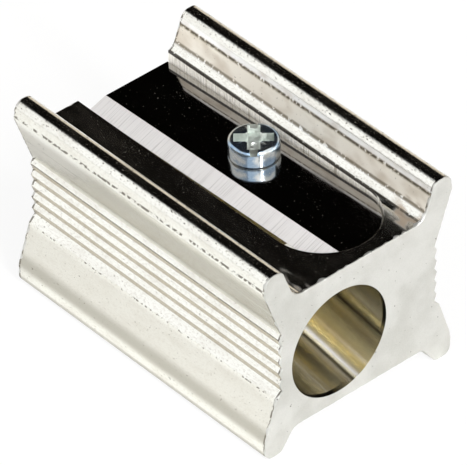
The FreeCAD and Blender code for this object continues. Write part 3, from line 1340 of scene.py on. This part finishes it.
@dataclass
class Screw:
    """Cheese-head screw with a shallow slot, a deeper cross and a thread, seated on the blade."""

    head_radius: float = 1.75
    head_height: float = 1.35
    top_round: float = 0.32
    foot_round: float = 0.18
    head_steps: int = 96
    slot_width: float = 0.6
    slot_depth: float = 0.26
    slot_turn: float = 48.0
    cross_width: float = 0.95
    cross_length: float = 2.65
    cross_depth: float = 0.6
    pit_radius: float = 0.7
    pit_depth: float = 0.9
    pit_steps: int = 48
    recess_break: float = 0.05
    recess_draft: float = 0.8
    thread_radius: float = 1.0
    core_radius: float = 0.78
    pitch: float = 0.4
    tooth_shares: Point = (0.14, 0.45, 0.69)
    shank_length: float = 4.48
    point: float = 0.3
    turn_steps: int = 48

    def head(self) -> Piece:
        """Build the head with its recess.

        Returns:
            The head, with its underside at height 0.
        """
        mesh = turned([
            (0, 0, 0),
            (self.head_radius, 0, self.foot_round),
            (self.head_radius, self.head_height, self.top_round),
            (0, self.head_height, 0),
        ], self.head_steps)
        head = as_object("cheese_head_screw", mesh, [ZINC_PLATE.material()])
        recess = ZINC_RECESS.material()
        through = 2 * self.head_radius + OVERCUT
        cutters = []
        for length, width, depth, turn in (
            (through, self.slot_width, self.slot_depth, 0),
            (self.cross_length, self.cross_width, self.cross_depth, 0),
            (self.cross_length, self.cross_width, self.cross_depth, 90),
        ):
            arm = bmesh.new()
            bmesh.ops.create_cube(arm, size=1.0)
            floor = [vert for vert in arm.verts if vert.co.z < 0]
            turning = Matrix.Rotation(math.radians(self.slot_turn + turn), 3, "Z")
            bmesh.ops.scale(arm, verts=arm.verts, vec=(length, width, 2 * depth))
            bmesh.ops.scale(arm, verts=floor, vec=(1, self.recess_draft, 1))
            bmesh.ops.rotate(arm, verts=arm.verts, matrix=turning)
            bmesh.ops.translate(arm, verts=arm.verts, vec=(0, 0, self.head_height))
            cutters.append(as_object("recess_arm", arm, [recess]))
        pit = turned([
            (0, self.head_height - self.pit_depth, 0),
            (self.pit_radius, self.head_height, 0),
            (self.pit_radius, self.head_height + OVERCUT, 0),
            (0, self.head_height + OVERCUT, 0),
        ], self.pit_steps)
        cutters.append(as_object("recess_pit", pit, [recess]))
        carve(head, cutters)
        ease_edges(head, [{ZINC_PLATE.name, ZINC_RECESS.name}], self.recess_break)
        return head

    def add_thread(self, piece: Piece) -> None:
        """Add the threaded shank under the head: one tooth, swept along its helix.

        Args:
            piece: The head, which the thread joins.
        """
        # One turn more than the shank at each end, so that both ends are cut clean.
        turns = math.ceil(self.shank_length / self.pitch) + 2
        start = -self.shank_length - self.pitch
        foot, crest_start, crest_end = self.tooth_shares
        flanks = [
            (self.core_radius, 0.0), (self.core_radius, foot), (self.thread_radius, crest_start),
            (self.thread_radius, crest_end), (self.core_radius, 1.0),
        ]
        tooth = bmesh.new()
        verts = [tooth.verts.new((radius, 0, start + share * self.pitch)) for radius, share in flanks]
        edges = [tooth.edges.new(pair) for pair in zip(verts, verts[1:])]
        bmesh.ops.spin(
            tooth, geom=verts + edges, cent=(0, 0, 0), axis=(0, 0, 1),
            dvec=(0, 0, self.pitch / self.turn_steps), angle=2 * math.pi * turns,
            steps=turns * self.turn_steps, use_merge=False, use_duplicate=False,
        )
        bmesh.ops.remove_doubles(tooth, verts=tooth.verts, dist=MERGE_DISTANCE)
        for level, outwards in ((self.foot_round / 2, 1), (-self.shank_length, -1)):
            rim = slice_off(tooth, (0, 0, level), (0, 0, outwards))
            bmesh.ops.holes_fill(tooth, edges=rim, sides=0)
        for vert in tooth.verts:
            radius = math.hypot(vert.co.x, vert.co.y)
            widest = self.thread_radius - max(0.0, self.point - self.shank_length - vert.co.z)
            if radius > widest:
                vert.co.x *= widest / radius
                vert.co.y *= widest / radius
        bmesh.ops.recalc_face_normals(tooth, faces=tooth.faces)
        shank = as_object("thread", tooth, [bpy.data.materials[ZINC_PLATE.name]])
        with editing(piece) as joined:
            joined.from_mesh(shank.data)
        bpy.data.objects.remove(shank)

    def build(self, seat: BladeSeat, blade: Blade) -> Piece:
        """Build the screw, seated on the blade.

        Args:
            seat: Seat that the blade lies in.
            blade: Blade under the head.

        Returns:
            The screw, tied to its CAD node.
        """
        piece = self.head()
        self.add_thread(piece)
        on_blade = Matrix.Translation((seat.screw_x, seat.screw_along, blade.thickness))
        piece.data.transform(seat.place() @ on_blade)
        return finish_piece(piece, "blade_screw", "screw")


@dataclass(frozen=True)
class Softbox:
    """A lamp that faces the object: its direction, its size and distance in metres, and its watts."""

    name: str
    way: Point
    size: Span
    power: float
    distance: float = 0.9

    def hang(self) -> None:
        """Put the lamp into the scene."""
        data = bpy.data.lights.new(self.name, "AREA")
        data.shape = "RECTANGLE"
        data.size, data.size_y = self.size
        data.energy = self.power
        lamp = bpy.data.objects.new(self.name, data)
        towards = Vector(self.way).normalized()
        facing = towards.to_track_quat("Z", "Y").to_matrix().to_4x4()
        lamp.matrix_world = Matrix.Translation(towards * self.distance) @ facing
        bpy.context.scene.collection.objects.link(lamp)


@dataclass
class Studio:
    """Pale floor, three softboxes, the camera, and a surround that metal mirrors.

    The surround is white on the left, a dim tan low on the right and dark above.
    """

    camera_place: Point = (-0.2219, -0.2529, 0.2830)
    camera_right: Point = (0.7466, -0.6649, -0.0087)
    camera_up: Point = (0.4266, 0.4690, 0.7733)
    lens: float = 511.8
    sensor: float = 36.0
    clip_start: float = 0.01
    floor_size: float = 3.0
    floor_glow: float = 0.9
    mirrored_glow: float = 0.1
    floor_colour: str = "#F7F7F5"
    wall_light: float = 1.15
    left_wall_x: Span = (-0.22, -0.04)
    left_wall_z: Span = (0.74, 0.84)
    right_wall_z: Span = (0.34, 0.46)
    right_wall: str = "#D8CDBC"
    dark: str = "#060504"
    softboxes: tuple[Softbox, ...] = (
        Softbox("key_softbox", (0.25, -0.65, 0.72), (1.05, 1.05), 4.1),
        Softbox("strip_light", (-0.12, -0.73, 0.66), (0.03, 0.5), 6.2),
        Softbox("fill_softbox", (-0.56, -0.49, 0.64), (0.65, 0.65), 1.65),
    )

    def camera(self) -> None:
        """Set the camera at the photograph's place and angle."""
        data = bpy.data.cameras.new("camera")
        data.lens = self.lens
        data.sensor_width = self.sensor
        data.clip_start = self.clip_start
        camera = bpy.data.objects.new("camera", data)
        right = Vector(self.camera_right).normalized()
        back = right.cross(Vector(self.camera_up)).normalized()
        up = back.cross(right)
        turn = Matrix((right, up, back)).transposed()
        camera.matrix_world = Matrix.Translation(self.camera_place) @ turn.to_4x4()
        bpy.context.scene.collection.objects.link(camera)
        bpy.context.scene.camera = camera

    def floor(self) -> None:
        """Lay the pale floor, which glows white to the camera and keeps the object's shadow."""
        mesh = bmesh.new()
        bmesh.ops.create_grid(mesh, x_segments=1, y_segments=1, size=self.floor_size)
        material = bpy.data.materials.new("white_paper_floor")
        material.use_nodes = True
        tree = material.node_tree
        tree.nodes.clear()
        paint = Painter(tree)
        path = add_node(tree, "ShaderNodeLightPath").outputs
        direct = paint.join(Blend.LARGER, path["Is Camera Ray"], path["Is Transmission Ray"])
        in_metal = paint.join(Blend.PRODUCT, path["Is Glossy Ray"], self.mirrored_glow / self.floor_glow)
        seen = paint.join(Blend.LARGER, direct, in_metal)
        paper = add_node(tree, "ShaderNodeBsdfDiffuse", {}, {"Color": linear(self.floor_colour)})
        glow = add_node(tree, "ShaderNodeEmission", {}, {"Color": linear(WHITE), "Strength": 1.0})
        mixed = add_node(tree, "ShaderNodeMixShader", {}, {
            0: paint.join(Blend.PRODUCT, seen, self.floor_glow),
            1: paper.outputs["BSDF"],
            2: glow.outputs["Emission"],
        })
        add_node(tree, "ShaderNodeOutputMaterial", {}, {"Surface": mixed.outputs["Shader"]})
        piece = as_object("floor", mesh, [material])

    def surround(self) -> None:
        """Light the object from a white wall on its left and a dim tan one on its right, dark above."""
        world = bpy.data.worlds.new("studio")
        bpy.context.scene.world = world
        world.use_nodes = True
        tree = world.node_tree
        tree.nodes.clear()
        paint = Painter(tree, place=add_node(tree, "ShaderNodeTexCoord").outputs["Generated"])
        x, _, z = paint.axes()
        low_right = paint.between(z, *self.right_wall_z, 1.0, 0.0)
        left = paint.join(
            Blend.PRODUCT,
            paint.between(x, *self.left_wall_x, 1.0, 0.0),
            paint.between(z, *self.left_wall_z, 1.0, 0.0),
        )
        walls = paint.tint(paint.tint(self.dark, low_right, self.right_wall), left, WHITE)
        lit = add_node(tree, "ShaderNodeBackground", {}, {"Color": walls, "Strength": self.wall_light})
        backdrop = add_node(tree, "ShaderNodeBackground", {}, {"Color": linear(WHITE), "Strength": 1.0})
        shown = add_node(tree, "ShaderNodeMixShader", {}, {
            0: add_node(tree, "ShaderNodeLightPath").outputs["Is Camera Ray"],
            1: lit.outputs["Background"],
            2: backdrop.outputs["Background"],
        })
        add_node(tree, "ShaderNodeOutputWorld", {}, {"Surface": shown.outputs["Shader"]})

    def build(self) -> None:
        """Set up the floor, the light and the camera."""
        bpy.context.scene.view_settings.view_transform = "Standard"
        self.floor()
        self.surround()
        for softbox in self.softboxes:
            softbox.hang()
        self.camera()


def main() -> None:
    """Build the sharpener and its studio, and report the pieces."""
    logging.basicConfig(level=logging.INFO, format="%(name)s: %(message)s")
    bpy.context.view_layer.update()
    block = Block()
    seat = BladeSeat(block.mouth_y)
    blade = Blade()
    pieces = [
        block.build(PencilHole(block.mouth_y), seat),
        blade.build(seat),
        Screw().build(seat, blade),
    ]
    for piece in pieces:
        LOG.info("%s: %d faces", piece.name, len(piece.data.polygons))
    Studio().build()
    bpy.context.view_layer.update()


if __name__ == "__main__":
    main()
